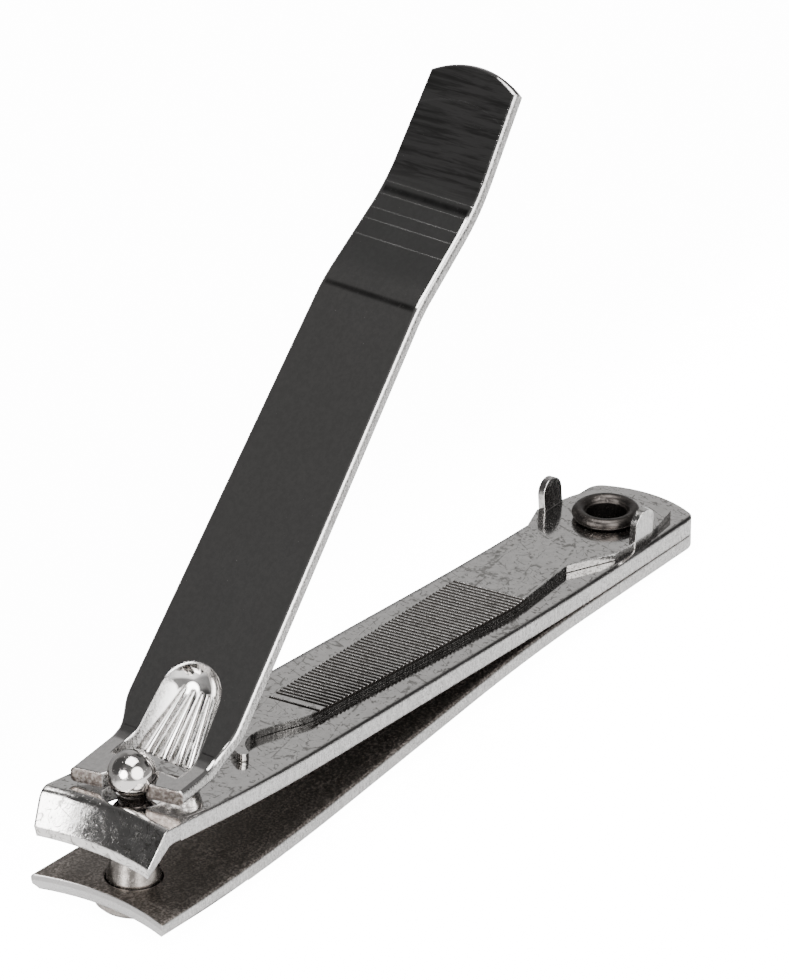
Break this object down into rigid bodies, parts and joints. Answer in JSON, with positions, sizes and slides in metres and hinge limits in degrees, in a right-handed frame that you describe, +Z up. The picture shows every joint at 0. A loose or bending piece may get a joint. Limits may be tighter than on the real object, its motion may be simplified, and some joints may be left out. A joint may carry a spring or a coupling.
{
  "type": "nail clipper",
  "caption": "Lever nail clipper: two bowed steel jaws riveted at the rear, a ball-ended post, a forked thumb lever with a pressing spoon, and a swing-out file blade.",
  "frame": {"origin": "on the floor under the middle of the clipper, which stands on the post's foot and the rear edge of the rivet's flange", "axes": "+X towards the cutting edges, +Z up from the lower jaw to the lever, Y across"},
  "size_m": [0.0807, 0.014, 0.0565],
  "materials": {
    "jaw_chrome": "chrome plate over brushed spring steel, fine scratches",
    "rivet_dark": "dark nickel, satin",
    "post_polish": "polished ball, duller shaft",
    "lever_chrome": "bright chrome plate with fine specks",
    "blade_chrome": "chrome plate, polished with fine swirls"
  },
  "bodies": {
    "upper_half": {"upper_jaw": "jaw_chrome", "eyelet": "rivet_dark"},
    "lower_half": {"lower_jaw": "jaw_chrome"},
    "post": {"post": "post_polish"},
    "lever": {"lever": "lever_chrome"},
    "file": {"file_blade": "blade_chrome"}
  },
  "joints": [
    {"name": "jaw_close", "type": "hinge", "parent": "upper_half", "child": "lower_half", "pos_m": [-0.01901, 0, 0.00296], "axis": [0, -1, 0], "range_deg": [0, 3.95], "deforming": ["lower_jaw"]},
    {"name": "post_turn", "type": "hinge", "parent": "lower_half", "child": "post", "pos_m": [0.03521, 0, 0.00015], "axis": [-0.0518, 0, 0.9987], "range_deg": [-25, 25]},
    {"name": "lever_press", "type": "hinge", "parent": "post", "child": "lever", "pos_m": [0.03458, 0, 0.01229], "axis": [0, -1, 0], "range_deg": [0, 38], "stiffness_Nm_per_rad": 0.34, "springref_deg": -3.44},
    {"name": "file_swing", "type": "hinge", "parent": "upper_half", "child": "file", "pos_m": [-0.03297, 0, 0.00378], "axis": [-0.0518, 0, 0.9987], "continuous": true}
  ],
  "couplings": [
    {"joint": "jaw_close", "follows": "lever_press", "ratio": 0.1039}
  ]
}
